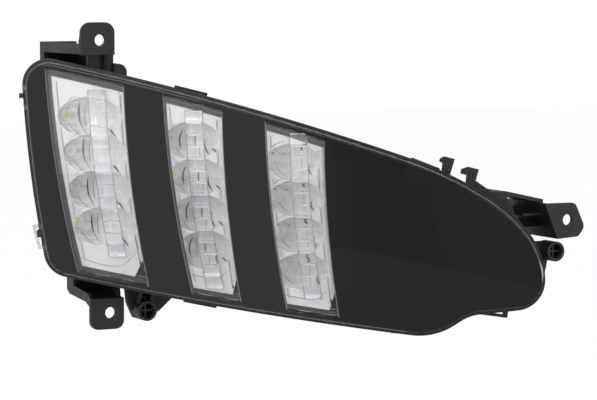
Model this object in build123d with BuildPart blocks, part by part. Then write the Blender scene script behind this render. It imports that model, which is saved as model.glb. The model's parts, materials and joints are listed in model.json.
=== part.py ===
from build123d import *
import os
from math import asin, cos, hypot, radians, sin

# Daytime running light for the right front corner of a car.
# Millimetres. +X runs towards the car's centreline, +Y to the rear, +Z up.
# The origin is the centre of the upper tab's screw hole, on the tab's front face.

# Lens face: a shallow dome, swept back on its outboard side
lens_centre = Vector(92.4, -64.0, -89.1)
lens_sweep = 25.0
dome_radius = 760.0
outboard_top = (-152.8, 78.6)
outboard_low = (-138.8, -40.5)
outboard_bow = 2.4
nose_tip = (139.9, -47.5)
brow_end = (-77.9, 67.5)
shoulder_end = (-31.2, 44.7)
cheek_end = (-9.3, 24.8)
wave_start_step = (-42.2, -17.9)
wave_end_step = (-61.8, -30.4)
top_corner_radius = 12.0
low_corner_radius = 12.0
brow_slope = 11.3
belly_bow = 1.7
nose_drop = 14.6
nose_radius = 14.0
wave_start_radius = 26.0
wave_end_radius = 34.0
face_edge_radius = 1.0
cut_lead = 10.0

# Lens walls: a clear first shot with a black second shot over it
black_wall = 1.2
clear_wall = 1.8
skirt_wall = 2.0
band_overlap = 0.5
skirt_depth = 7.0
lens_rim_width = 1.2
lens_rim_wall = 2.0
foot_wall = 1.6
foot_depth = 2.6
window_rim = 2.0

# Claw windows: place and lean of each edge where it crosses mid height
claw_radius = 600.0
claw_reach = 92.0
claws = (
    ((-132.7, -0.182), (-92.5, -0.133)),
    ((-69.8, -0.148), (-40.2, -0.091)),
    ((-15.9, -0.100), (15.4, -0.059)),
)
pillow_width = 9.4
pillow_pitch = 6.6
pillow_groove = 0.5
pillow_wall = 1.1
pillow_root = 0.3
pillow_lean_share = 0.46
pillow_end_gap = 9.0

# Reflector bars: four bowls each, on a flat front plate behind the window
plate_depth = 9.0
plate_wall = 2.0
plate_left_margin = 8.0
plate_right_margin = 6.0
plate_end_gap = 4.1
plate_drop = 0.6
plate_slot_width = 0.8
plate_slot_end = 3.0
plate_slots = ((5.2, 1.6), (3.0, 2.4), (2.6, 2.4))
plate_cuts = (
    ((-92.6, -46.0), (-84.5, -29.0), (-79.0, -54.0)),
    ((-37.5, -57.5), (-33.5, -41.5), (-30.0, -64.0)),
    ((17.9, -63.5), (22.4, -48.0), (26.0, -70.0)),
)
bowl_wall = 1.2
bowl_count = 4
bowl_pitch = 20.6
bowl_starts = ((-5.0, 45.9), (-4.4, 32.9), (-2.6, 20.7))
bowl_steps = (3.0, 2.3, 1.8)
bowl_sizes = ((18.4, 11.5), (15.8, 10.9), (15.4, 10.5))
bowl_shares = (0.0, 0.12, 0.42, 0.45, 0.75, 1.0)
bowl_flare = (0.0, 0.30, 0.57, 0.63, 0.86, 1.0)
bowl_back = (0, 1, 3, 5)
bowl_facets = 20
bowl_lead = 0.5
led_setback = 29.5
led_sides = (4.0, 1.2, 1.0)
led_lift = 0.3
led_bore_radius = 2.6

# Inner bezel behind the reflector plates
bezel_wall = 2.0
bezel_border = 16.0
bezel_left_margin = 6.0
bezel_right_margin = 3.8
bezel_opening_lip = 0.6
bezel_clearance = 0.4
ear_radius = 4.2
ear_offset = 3.5
boss_wall = 1.2
bezel_boss_radius = 2.9
bezel_boss_rise = 0.8

# LED boards and heat sinks, square to the car's length
board_width = 12.4
board_wall = 1.6
board_corner = 2.0
board_end = 11.6
board_screw_inset = 2.6
led_size = 3.0
led_height = 0.7
phosphor_size = 2.2
phosphor_height = 0.15
sink_wall = 2.0
fin_count = 5
fin_wall = 1.0
fin_height = 4.5

# Housing
flange_front = 7.0
flange_back = 12.0
flange_width = 2.8
body_inset = 3.0
body_edge_radius = 4.0
housing_wall = 2.2
housing_depth = 62.5
channel_clearance = 0.3
channel_depth = 3.4
post_radius = 3.4

# Screw tabs
tab_wall = 2.2
tab_hole = 6.5
tab_screw_room = 14.0
arm_wall = 2.4

# Strap loops along the edges: middle across and up the lens, direction in degrees, length
loop_stand = 4.5
loop_bar = 1.4
loop_leg = 2.6
loop_depth = 3.5
housing_loops = (
    (-59.6, 61.4, -14.0, 19.0),
    (73.2, 19.3, -21.5, 17.0),
    (-55.2, -60.9, 168.6, 19.0),
    (112.1, -69.2, 172.2, 18.0),
)
lens_loops = ((-158.1, 56.8, 90.0, 14.0), (-147.9, -22.8, 104.0, 14.5))

# Small screws
board_screw = 3.0
board_screw_head = 2.49
board_head_height = 1.5
reflector_screw = 2.0
reflector_screw_length = 3.2
reflector_head_height = 1.2
bezel_screw = 2.6
bezel_head_height = 1.3
cover_screw = 3.5
cover_screw_head = 3.325
cover_head_height = 2.2
cover_screw_hold = 4.0
screw_hold = 8.0
head_chamfer_share = 0.3
hole_clearance = 0.2

# Rear cover, driver and connector
cover_centre = (66.0, -34.0)
cover_length = 54.0
cover_height = 38.0
cover_lip = 5.0
cover_wall = 2.5
cover_corner = 6.0
spigot_corner = 4.0
spigot_clearance = 0.4
spigot_wall = 2.0
standoff_radius = 2.5
standoff_inset = 4.0
gasket_wall = 1.2
driver_gap = 9.0
driver_margin = 5.0
socket_length = 22.0
socket_width = 9.0
socket_depth = 15.0
socket_wall = 1.8
pin_count = 4
pin_size = 1.0
pin_pitch = 4.6
pin_reach = 7.0

sweep = radians(lens_sweep)
across = Vector(cos(sweep), -sin(sweep), 0)
outward = Vector(-sin(sweep), -cos(sweep), 0)
lens_plane = Plane(origin=lens_centre, x_dir=across, z_dir=outward)
dome_centre = lens_centre - outward * dome_radius
lens_wall = black_wall + clear_wall


# Shared shapes

with BuildSketch() as face_outline:
    nose = Vector(*nose_tip)
    top = Vector(*outboard_top)
    low = Vector(*outboard_low)
    wave_start = nose + Vector(*wave_start_step)
    wave_end = nose + Vector(*wave_end_step)
    with BuildLine():
        side = low - top
        ThreePointArc(top, (top + low) * 0.5 + Vector(side.Y, -side.X).normalized() * outboard_bow, low)
        brow_tangent = (cos(radians(brow_slope)), -sin(radians(brow_slope)))
        brow = TangentArc(top, nose + Vector(*brow_end), tangent=brow_tangent)
        shoulder = TangentArc(brow @ 1, nose + Vector(*shoulder_end), tangent=brow % 1)
        cheek = TangentArc(shoulder @ 1, nose + Vector(*cheek_end), tangent=shoulder % 1)
        tip = TangentArc(cheek @ 1, nose, tangent=cheek % 1)
        nose_foot = nose + (tip % 1) * nose_drop
        Polyline(nose, nose_foot, wave_start, wave_end)
        ThreePointArc(wave_end, (wave_end + low) * 0.5 + Vector(0, -belly_bow), low)
    make_face()
    for corner, radius in (
        (top, top_corner_radius),
        (low, low_corner_radius),
        (nose_foot, nose_radius),
        (wave_start, wave_start_radius),
        (wave_end, wave_end_radius),
    ):
        fillet(face_outline.vertices().sort_by_distance(corner)[0], radius=radius)


def lens_prism(grow, front, back):
    """The lens outline grown by grow, as a prism between two depths behind the lens plane."""
    with BuildPart() as prism:
        with BuildSketch(lens_plane.offset(-front)):
            add(face_outline.sketch_local)
            if grow:
                offset(amount=grow)
        extrude(amount=front - back)
    return prism.part


def dome(depth):
    """A ball whose face lies depth behind the lens face."""
    with BuildPart() as ball:
        with Locations(dome_centre):
            Sphere(dome_radius - depth)
    return ball.part


def dome_fall(u, v):
    """How far the lens dome falls back at a place on the lens."""
    return (u * u + v * v) / (2 * dome_radius)


def loop(spot, front, back):
    """A strap that stands off the lens edge on two legs: middle, direction and length."""
    u, v, direction, length = spot
    with BuildPart() as strap:
        with BuildSketch(lens_plane.offset(-front - dome_fall(u, v))):
            with Locations(Location((u, v, 0), (0, 0, direction))):
                Rectangle(length, loop_stand + loop_bar, align=(Align.CENTER, Align.MAX))
                with Locations((0, -loop_bar)):
                    Rectangle(length - 2 * loop_leg, loop_stand + 1, align=(Align.CENTER, Align.MAX),
                              mode=Mode.SUBTRACT)
        extrude(amount=front - back)
    return strap.part


def lens_skin(grow, front, back):
    """A curved sheet of the lens outline between two depths behind the lens face."""
    with BuildPart() as skin:
        add(lens_prism(grow, -cut_lead, housing_depth))
        add(dome(front), mode=Mode.INTERSECT)
        add(dome(back), mode=Mode.SUBTRACT)
    return skin.part


def lens_band(outer_grow, inner_grow, front, back):
    """A curved ring that follows the lens outline."""
    with BuildPart() as band:
        add(lens_skin(outer_grow, front, back))
        add(lens_prism(inner_grow, -cut_lead - 1, housing_depth + 1), mode=Mode.SUBTRACT)
    return band.part


def claw_u(edge, height):
    """Where a claw edge lies across the lens at that height."""
    place, lean = edge
    return place + lean * height + height * height / (2 * claw_radius)


def claw_prism(left, right, left_grow, right_grow, rim, front, back, drop=0.0):
    """The band between two claw edges, kept rim inside the lens outline, which may be let down by drop."""
    with BuildPart() as prism:
        with BuildSketch(lens_plane.offset(-front)):
            with BuildLine():
                heights = (claw_reach, 0, -claw_reach)
                lefts = [(claw_u(left, v) - left_grow, v) for v in heights]
                rights = [(claw_u(right, v) + right_grow, v) for v in heights]
                ThreePointArc(*lefts)
                ThreePointArc(*rights)
                Line(lefts[0], rights[0])
                Line(lefts[2], rights[2])
            make_face()
            with BuildSketch(mode=Mode.PRIVATE) as inside:
                add(face_outline.sketch_local)
                offset(amount=-rim)
            with Locations((0, -drop)):
                add(inside.sketch_local, mode=Mode.INTERSECT)
        extrude(amount=front - back)
    return prism.part


def bar_plane(bar, depth):
    """A plane square to the lens dome at the middle of a window, depth behind the face."""
    left, right = claws[bar]
    turn = asin((left[0] + right[0]) / 2 / dome_radius)
    normal = outward * cos(turn) + across * sin(turn)
    x_dir = across * cos(turn) - outward * sin(turn)
    return Plane(origin=dome_centre + normal * (dome_radius - depth), x_dir=x_dir, z_dir=normal)


def bar_slab(bar, front, back):
    """A wide flat slab square to the lens dome at a window."""
    with BuildPart() as slab:
        with BuildSketch(bar_plane(bar, front)):
            Rectangle(dome_radius / 2, dome_radius / 2)
        extrude(amount=front - back)
    return slab.part


def spot_on(plane, u, v):
    """Where a place on the lens, seen square to the lens plane, falls on another plane."""
    point = lens_plane.from_local_coords(Vector(u, v, 0))
    return point + outward * ((plane.origin - point).dot(plane.z_dir) / outward.dot(plane.z_dir))


def mouth_centre(bar, bowl):
    """Middle of a bowl's mouth on its reflector plate, in the plate's own plane."""
    s0, t0 = bowl_starts[bar]
    return s0 + bowl_steps[bar] * bowl, t0 - bowl_pitch * bowl


def mouth_point(bar, bowl):
    """Middle of a bowl's mouth in the part's frame."""
    s, t = mouth_centre(bar, bowl)
    return bar_plane(bar, plate_depth).from_local_coords(Vector(s, t, 0))


def board_plane(bar):
    """Front face of a bar's LED board: x across the row, y up the row, z forward."""
    first = mouth_point(bar, 0)
    last = mouth_point(bar, bowl_count - 1)
    middle = (first + last) * 0.5
    row = first - last
    origin = Vector(middle.X - led_sides[bar], middle.Y + led_setback, middle.Z + led_lift)
    return Plane(origin=origin, x_dir=(row.Z, 0, -row.X), z_dir=(0, -1, 0))


def led_pitch(bar):
    """Distance between neighbouring LEDs along the row."""
    row = mouth_point(bar, 0) - mouth_point(bar, 1)
    return hypot(row.X, row.Z)


def led_places(bar):
    """LED centres along the board's own y axis."""
    return [(0, ((bowl_count - 1) / 2 - k) * led_pitch(bar)) for k in range(bowl_count)]


def board_length(bar):
    return (bowl_count - 1) * led_pitch(bar) + 2 * board_end


def board_screw_places(bar):
    reach = board_length(bar) / 2 - board_screw_inset
    return [(0, reach), (0, -reach)]


def bowl_solid(bar, bowl, wall, lead, steps):
    """A facetted bowl from its LED bore to its mouth, wall larger all round and lead past the plate."""
    half_width, half_height = bowl_sizes[bar]
    led_at = board_plane(bar).from_local_coords(Vector(*led_places(bar)[bowl], 0))
    plate = bar_plane(bar, plate_depth - lead)
    mouth_at = plate.from_local_coords(Vector(*mouth_centre(bar, bowl), 0))
    with BuildPart() as solid:
        for step in steps:
            share, flare = bowl_shares[step], bowl_flare[step]
            section = Plane(
                origin=led_at + (mouth_at - led_at) * share,
                x_dir=Vector(1, 0, 0) * (1 - share) + plate.x_dir * share,
                z_dir=Vector(0, -1, 0) * (1 - share) + plate.z_dir * share,
            )
            wide = led_bore_radius + (half_width - led_bore_radius) * flare + wall
            tall = led_bore_radius + (half_height - led_bore_radius) * flare + wall
            turns = [radians(360 * (k + 0.5) / bowl_facets) for k in range(bowl_facets)]
            with BuildSketch(section):
                Polygon(*[(wide * cos(turn), tall * sin(turn)) for turn in turns], align=None)
        loft(ruled=True)
    return solid.part


def reflector_screw_planes(bar):
    """Screw places beside the gaps between bowls, on the bezel's back and facing backwards."""
    right = claws[bar][1]
    plane = bar_plane(bar, plate_depth + plate_wall + bezel_wall)
    high = mouth_centre(bar, 0)[1] - bowl_pitch / 2
    low = mouth_centre(bar, bowl_count - 2)[1] - bowl_pitch / 2
    places = [(claw_u(right, v) + ear_offset, v) for v in (high, low)]
    return [Plane(spot_on(plane, u, v), x_dir=plane.x_dir, z_dir=plane.z_dir * -1) for u, v in places]


def screw(plane, size, length, head_radius, head_height):
    """A pan head screw whose head sits on the plane and whose shank runs behind it."""
    with BuildPart() as body:
        with BuildSketch(plane):
            Circle(head_radius)
        extrude(amount=head_height)
        chamfer(body.edges().filter_by(GeomType.CIRCLE).sort_by(Axis(plane.origin, plane.z_dir))[-1],
                length=head_height * head_chamfer_share)
        with BuildSketch(plane):
            Circle(size / 2)
        extrude(amount=-length)
    return body.part


def bore(plane, radius, length):
    """A round plug that runs behind a plane, for cutting holes."""
    with BuildPart() as plug:
        with BuildSketch(plane):
            Circle(radius)
        extrude(amount=-length)
    return plug.part


def save(part, name):
    part.label = name
    export_step(part, f"parts/{name}.step")


os.makedirs("parts", exist_ok=True)
bars = range(len(claws))
bezel_front = plate_depth + plate_wall


# Lens, clear shot: windows, base under the black shot, skirt, rim, foot and side loops

rim_front = skirt_depth - lens_rim_wall
windows = [claw_prism(left, right, 0, 0, window_rim, -cut_lead, housing_depth) for left, right in claws]


def pillow_plane(u, v):
    """End plane of a pillow on the inside of the lens: x up the lens, y out of it, z across it."""
    out = across * u + Vector(0, 0, v) + outward * (dome_radius**2 - u * u - v * v) ** 0.5
    normal = out.normalized()
    row = normal.cross(Vector(0, 0, 1)).normalized()
    middle = dome_centre + normal * (dome_radius - lens_wall)
    return Plane(middle - row * pillow_width / 2, x_dir=normal.cross(row), z_dir=row)


def pillow_strip(bar):
    """Rounded optic bars, one above the other down the inside of one window."""
    left, right = claws[bar]
    top = mouth_centre(bar, 0)[1] + bowl_pitch
    count = int((bowl_count + 0.9) * bowl_pitch / pillow_pitch)
    reach = (pillow_pitch - pillow_groove) / 2
    with BuildPart() as strip:
        for k in range(count):
            v = top - k * pillow_pitch
            u = claw_u(left, v) * (1 - pillow_lean_share) + claw_u(right, v) * pillow_lean_share
            with BuildSketch(pillow_plane(u, v)):
                with BuildLine():
                    ThreePointArc((-reach, 0), (0, -pillow_wall), (reach, 0))
                    Polyline((reach, 0), (reach, pillow_root), (-reach, pillow_root), (-reach, 0))
                make_face()
            extrude(amount=pillow_width)
        add(lens_prism(-pillow_end_gap, -cut_lead, housing_depth), mode=Mode.INTERSECT)
    return strip.part


with BuildPart() as lens_clear:
    add(lens_skin(-black_wall, black_wall, lens_wall))
    for window in windows:
        with BuildPart(mode=Mode.PRIVATE) as pane:
            add(window)
            add(dome(0), mode=Mode.INTERSECT)
            add(dome(lens_wall), mode=Mode.SUBTRACT)
        add(pane.part)
    add(lens_band(-black_wall, -black_wall - skirt_wall, lens_wall - band_overlap, skirt_depth))
    add(lens_band(lens_rim_width, -black_wall - skirt_wall, rim_front, skirt_depth))
    add(lens_band(-black_wall, -black_wall - foot_wall, skirt_depth - band_overlap, skirt_depth + foot_depth))
    for bar in bars:
        add(pillow_strip(bar))
    for spot in lens_loops:
        with BuildPart(mode=Mode.PRIVATE) as strap:
            add(loop(spot, rim_front, skirt_depth + foot_depth))
            add(lens_prism(lens_rim_width - band_overlap, -cut_lead, housing_depth), mode=Mode.SUBTRACT)
            add(lens_band(flange_width + channel_clearance, -body_inset, skirt_depth, housing_depth),
                mode=Mode.SUBTRACT)
        add(strap.part)
save(lens_clear.part, "lens_clear")

# Lens, black shot: a thin skin over the clear shot, cut out at the windows

with BuildPart() as lens_black:
    add(lens_skin(0, 0, rim_front))
    fillet(lens_black.faces().sort_by(Axis(lens_centre, outward))[-1].edges(), radius=face_edge_radius)
    add(lens_skin(-black_wall, black_wall, housing_depth), mode=Mode.SUBTRACT)
    for window in windows:
        add(window, mode=Mode.SUBTRACT)
save(lens_black.part, "lens_black")

# Seal bead under the lens foot

channel_floor = skirt_depth + channel_depth
with BuildPart() as lens_seal:
    add(lens_band(-black_wall, -black_wall - foot_wall, skirt_depth + foot_depth, channel_floor))
save(lens_seal.part, "lens_seal")

# Reflectors: a flat plate with a slot along each side, and four stepped bowls of flat facets


def plate_slot(bar):
    """Two thin slots along the sides of a window, through its reflector plate."""
    left, right = claws[bar]
    left_in, right_in = plate_slots[bar]
    rim = window_rim + plate_end_gap + plate_slot_end
    with BuildPart() as slots:
        add(claw_prism(left, left, -left_in, left_in + plate_slot_width, rim, -cut_lead, housing_depth))
        add(claw_prism(right, right, right_in + plate_slot_width, -right_in, rim, -cut_lead, housing_depth))
    return slots.part


for bar, (left, right) in enumerate(claws):
    with BuildPart() as reflector:
        add(claw_prism(left, right, plate_left_margin, plate_right_margin, window_rim + plate_end_gap,
                       -cut_lead, housing_depth, plate_drop))
        add(bar_slab(bar, plate_depth, bezel_front), mode=Mode.INTERSECT)
        add(plate_slot(bar), mode=Mode.SUBTRACT)
        with BuildSketch(lens_plane.offset(cut_lead)):
            with BuildLine():
                Polyline(*plate_cuts[bar], close=True)
            make_face()
        extrude(amount=-cut_lead - housing_depth, mode=Mode.SUBTRACT)
        bowls = range(bowl_count)
        add([bowl_solid(bar, bowl, bowl_wall, -plate_wall / 2, bowl_back) for bowl in bowls])
        hollow = range(len(bowl_shares))
        add([bowl_solid(bar, bowl, 0, bowl_lead, hollow) for bowl in bowls], mode=Mode.SUBTRACT)
        for plane in reflector_screw_planes(bar):
            add(bore(plane, reflector_screw / 2 + boss_wall, bezel_wall))
            add(bore(plane, reflector_screw / 2, reflector_screw_length), mode=Mode.SUBTRACT)
    save(reflector.part, f"reflector_{bar + 1}")

# Bezel: three flat facets in one dark moulding, open behind each reflector plate

post_spots = ((1, -87.5, 50.0), (2, -31.9, 36.0), (2, 26.4, 12.0), (2, 31.0, -48.0))
bezel_back = bezel_front + bezel_wall


def facet_edges(bar):
    """The claw edges half way to the neighbouring windows, or a border past the outer ones."""
    left, right = claws[bar]
    if bar > 0:
        other = claws[bar - 1][1]
        left = ((left[0] + other[0]) / 2, (left[1] + other[1]) / 2)
    else:
        left = (left[0] - bezel_border, left[1])
    if bar + 1 < len(claws):
        other = claws[bar + 1][0]
        right = ((right[0] + other[0]) / 2, (right[1] + other[1]) / 2)
    else:
        right = (right[0] + bezel_border, right[1])
    return left, right


def spot_plane(spot, depth):
    """A plane parallel to the lens at a spot across and up the lens, depth behind its centre."""
    plane = lens_plane.offset(-depth)
    return plane.shift_origin(plane.from_local_coords(Vector(*spot, 0)))


bezel_screw_planes = []
for bar, u, v in post_spots:
    plane = bar_plane(bar, bezel_front)
    seat = spot_on(plane, u, v) + outward * bezel_boss_rise
    bezel_screw_planes.append(Plane(seat, x_dir=across, z_dir=outward))
bezel_boss_length = bezel_wall + 2 * bezel_boss_rise

with BuildPart() as bezel:
    for bar in bars:
        left, right = facet_edges(bar)
        with BuildPart(mode=Mode.PRIVATE) as facet:
            add(claw_prism(left, right, 0, 0, body_inset + housing_wall + bezel_clearance,
                           -cut_lead, housing_depth))
            add(bar_slab(bar, bezel_front, bezel_back), mode=Mode.INTERSECT)
        add(facet.part)
    for bar, (left, right) in enumerate(claws):
        lip = window_rim + plate_end_gap + bezel_opening_lip
        add(claw_prism(left, right, bezel_left_margin, bezel_right_margin, lip, -cut_lead, housing_depth),
            mode=Mode.SUBTRACT)
        for plane in reflector_screw_planes(bar):
            add(bore(plane, ear_radius, bezel_wall))
            add(bore(plane, reflector_screw / 2 + boss_wall + hole_clearance, bezel_wall), mode=Mode.SUBTRACT)
    for plane in bezel_screw_planes:
        add(bore(plane, bezel_boss_radius, bezel_boss_length))
        add(bore(plane, bezel_screw / 2 + hole_clearance, bezel_boss_length), mode=Mode.SUBTRACT)
save(bezel.part, "bezel")

# LED boards, LEDs and heat sinks

for bar in bars:
    face = board_plane(bar)
    with BuildPart() as led_board:
        with BuildSketch(face):
            RectangleRounded(board_width, board_length(bar), board_corner)
            with Locations(*board_screw_places(bar)):
                Circle(board_screw / 2 + hole_clearance, mode=Mode.SUBTRACT)
        extrude(amount=-board_wall)
    save(led_board.part, f"led_board_{bar + 1}")

    with BuildPart() as leds:
        with BuildSketch(face):
            with Locations(*led_places(bar)):
                Rectangle(led_size, led_size)
        extrude(amount=led_height)
    save(leds.part, f"leds_{bar + 1}")

    with BuildPart() as phosphors:
        with BuildSketch(face.offset(led_height)):
            with Locations(*led_places(bar)):
                Rectangle(phosphor_size, phosphor_size)
        extrude(amount=phosphor_height)
    save(phosphors.part, f"led_phosphors_{bar + 1}")

    with BuildPart() as heat_sink:
        back = face.offset(-board_wall)
        with BuildSketch(back):
            RectangleRounded(board_width, board_length(bar), board_corner)
            with Locations(*board_screw_places(bar)):
                Circle(board_screw / 2 + hole_clearance, mode=Mode.SUBTRACT)
        extrude(amount=-sink_wall)
        with BuildSketch(back.offset(-sink_wall)):
            fin_pitch = (board_width - fin_wall) / (fin_count - 1)
            with GridLocations(fin_pitch, 0, fin_count, 1):
                Rectangle(fin_wall, board_length(bar) - 2 * board_end)
        extrude(amount=-fin_height)
    save(heat_sink.part, f"heat_sink_{bar + 1}")


def group(parts):
    """Separate solids that share one node."""
    return Compound(children=[solid for part in parts for solid in part.solids()])


stack = board_wall + sink_wall
board_screws = []
for bar in bars:
    for x, y in board_screw_places(bar):
        plane = board_plane(bar)
        seat = Plane(plane.from_local_coords(Vector(x, y, 0)), plane.x_dir, plane.z_dir)
        body = screw(seat, board_screw, stack + screw_hold, board_screw_head, board_head_height)
        board_screws.append((seat, body))
save(group([body for seat, body in board_screws]), "board_screws")

reflector_screws = [
    screw(plane, reflector_screw, reflector_screw_length, ear_radius - 1, reflector_head_height)
    for bar in bars
    for plane in reflector_screw_planes(bar)
]
save(group(reflector_screws), "reflector_screws")

bezel_screws = [
    screw(plane, bezel_screw, bezel_boss_length + screw_hold, bezel_boss_radius - 0.5, bezel_head_height)
    for plane in bezel_screw_planes
]
save(group(bezel_screws), "bezel_screws")

# Rear cover, connector, driver and gasket: on the housing's back, behind the dark end of the lens

cover_seat = spot_plane(cover_centre, housing_depth)
outside = Plane(cover_seat.origin, x_dir=cover_seat.x_dir * -1, z_dir=outward * -1)
cover_outer = outside.offset(gasket_wall + cover_wall)
driver_plane = outside.offset(gasket_wall - driver_gap)
board_size = (cover_length - 2 * driver_margin, cover_height - 2 * driver_margin)
standoff_places = [
    (sx * (board_size[0] / 2 - standoff_inset), sy * (board_size[1] / 2 - standoff_inset))
    for sx in (-1, 1)
    for sy in (-1, 1)
]
cover_screw_places = [
    (sx * (cover_length / 2 + cover_lip / 2), sy * (cover_height / 2 + cover_lip / 2))
    for sx in (-1, 1)
    for sy in (-1, 1)
]
lip_size = (cover_length + 3 * cover_lip, cover_height + 3 * cover_lip)
spigot_size = (cover_length - 2 * spigot_clearance, cover_height - 2 * spigot_clearance)
shroud_top = -2.0
shroud_reach = socket_width / 2 + socket_wall

with BuildPart() as connector_pins:
    for k in range(pin_count):
        x = (k - (pin_count - 1) / 2) * pin_pitch
        with BuildSketch(driver_plane.offset(-board_wall - 1)):
            with Locations((x, shroud_top - socket_wall - 1)):
                Rectangle(pin_size, pin_size)
        extrude(amount=1 + board_wall + driver_gap + cover_wall + shroud_reach + pin_size / 2)
        with BuildSketch(cover_outer.offset(shroud_reach)):
            with Locations((x, shroud_top - socket_wall - 1 - pin_reach / 2)):
                Rectangle(pin_size, pin_reach + pin_size)
        extrude(amount=pin_size / 2, both=True)
save(connector_pins.part, "connector_pins")

with BuildPart() as rear_cover:
    with BuildSketch(outside.offset(gasket_wall)):
        RectangleRounded(*lip_size, cover_corner)
        with Locations(*cover_screw_places):
            Circle(cover_screw / 2 + hole_clearance, mode=Mode.SUBTRACT)
    extrude(amount=cover_wall)
    with BuildSketch(outside.offset(gasket_wall)):
        RectangleRounded(*spigot_size, spigot_corner)
        offset(amount=-spigot_wall, mode=Mode.SUBTRACT)
    extrude(amount=-gasket_wall - housing_wall)
    with BuildSketch(outside.offset(gasket_wall)):
        with Locations(*standoff_places):
            Circle(standoff_radius)
    extrude(amount=-driver_gap)
    with BuildSketch(cover_outer):
        with Locations((0, shroud_top)):
            Rectangle(
                socket_length + 2 * socket_wall,
                socket_depth + 2 * socket_wall,
                align=(Align.CENTER, Align.MAX),
            )
    extrude(amount=2 * shroud_reach)
    shroud_edges = rear_cover.edges().filter_by(Axis.Z).sort_by(Axis(cover_outer.origin, cover_outer.z_dir))
    fillet(shroud_edges[-2:], radius=socket_wall)
    with BuildSketch(cover_outer.offset(socket_wall)):
        with Locations((0, shroud_top - 2 * socket_wall)):
            Rectangle(socket_length, socket_depth + 5, align=(Align.CENTER, Align.MAX))
    extrude(amount=socket_width, mode=Mode.SUBTRACT)
    add(connector_pins.part, mode=Mode.SUBTRACT)
save(rear_cover.part, "rear_cover")

with BuildPart() as cover_gasket:
    with BuildSketch(outside):
        RectangleRounded(*lip_size, cover_corner)
        RectangleRounded(cover_length, cover_height, spigot_corner, mode=Mode.SUBTRACT)
        with Locations(*cover_screw_places):
            Circle(cover_screw / 2 + hole_clearance, mode=Mode.SUBTRACT)
    extrude(amount=gasket_wall)
save(cover_gasket.part, "cover_gasket")

with BuildPart() as driver_board:
    with BuildSketch(driver_plane):
        RectangleRounded(*board_size, board_corner)
        for k in range(pin_count):
            with Locations(((k - (pin_count - 1) / 2) * pin_pitch, shroud_top - socket_wall - 1)):
                Rectangle(pin_size, pin_size, mode=Mode.SUBTRACT)
    extrude(amount=-board_wall)
save(driver_board.part, "driver_board")

driver_face = driver_plane.offset(-board_wall)
coil_radius, coil_height, coil_chamfer = 6.5, 7.0, 1.2
capacitor_places, capacitor_radius, capacitor_height = ((5, 6), (15, 6)), 4.0, 9.0
chip_places, chip_size, chip_height = ((-10, -10), (6, -10), (17, -10)), (6.0, 5.0), 1.6
with BuildPart() as driver_coil:
    with BuildSketch(driver_face):
        with Locations((-board_size[0] / 4, 4)):
            Circle(coil_radius)
    extrude(amount=-coil_height)
    chamfer(driver_coil.edges().filter_by(GeomType.CIRCLE), length=coil_chamfer)
save(driver_coil.part, "driver_coil")

with BuildPart() as driver_capacitors:
    with BuildSketch(driver_face):
        with Locations(*capacitor_places):
            Circle(capacitor_radius)
    extrude(amount=-capacitor_height)
save(driver_capacitors.part, "driver_capacitors")

with BuildPart() as driver_chips:
    with BuildSketch(driver_face):
        with Locations(*chip_places):
            Rectangle(*chip_size)
    extrude(amount=-chip_height)
save(driver_chips.part, "driver_chips")

cover_screws = [
    screw(
        Plane(cover_outer.from_local_coords(Vector(x, y, 0)), cover_outer.x_dir, cover_outer.z_dir),
        cover_screw, cover_wall + gasket_wall + housing_wall + cover_screw_hold,
        cover_screw_head, cover_head_height,
    )
    for x, y in cover_screw_places
]
save(group(cover_screws), "cover_screws")

# Vent cap on a nozzle of the housing's back

vent_spot = (12.0, -28.0)
vent_tube = 4.0
vent_tube_length = 6.0
vent_wall = 1.6
vent_gap = 1.5
vent_chamfer = 1.2
vent_plane = Plane(spot_plane(vent_spot, housing_depth).origin, x_dir=across * -1, z_dir=outward * -1)
with BuildPart() as vent_cap:
    with BuildSketch(vent_plane.offset(vent_gap)):
        Circle(vent_tube + vent_wall)
    extrude(amount=vent_tube_length - vent_gap + vent_wall)
    cap_edges = vent_cap.edges().filter_by(GeomType.CIRCLE)
    chamfer(cap_edges.sort_by(Axis(vent_plane.origin, vent_plane.z_dir))[-1], length=vent_chamfer)
    with BuildSketch(vent_plane.offset(vent_gap)):
        Circle(vent_tube)
    extrude(amount=vent_tube_length - vent_gap, mode=Mode.SUBTRACT)
save(vent_cap.part, "vent_cap")

# Housing: one moulding with flange, body, brackets, bosses, hooks, loops and posts

with BuildPart() as body_prism:
    add(lens_prism(-body_inset, 0, housing_depth))
    fillet(body_prism.faces().sort_by(Axis(lens_centre, outward))[0].edges(), radius=body_edge_radius)
outer_body = body_prism.part
cavity = lens_prism(-body_inset - housing_wall, -cut_lead - 1, housing_depth - housing_wall)
deep = 30.0


def plate_xz(points, front, back, corner=0.0, rounded=()):
    """A plate square to the car's length, from its outline in X and Z, between two Y values."""
    with BuildPart() as plate:
        with BuildSketch(Plane(origin=(0, front, 0), x_dir=(1, 0, 0), z_dir=(0, -1, 0))) as outline:
            with BuildLine():
                Polyline(*points, close=True)
            make_face()
            for index in rounded:
                x, z = points[index]
                fillet(outline.vertices().sort_by_distance((x, z))[0], radius=corner)
        extrude(amount=front - back)
    return plate.part


def plate_yz(points, left, right):
    """A plate along the car's length, from its outline in Y and Z, between two X values."""
    with BuildPart() as plate:
        with BuildSketch(Plane(origin=(left, 0, 0), x_dir=(0, 1, 0), z_dir=(1, 0, 0))):
            with BuildLine():
                Polyline(*points, close=True)
            make_face()
        extrude(amount=right - left)
    return plate.part


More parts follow.
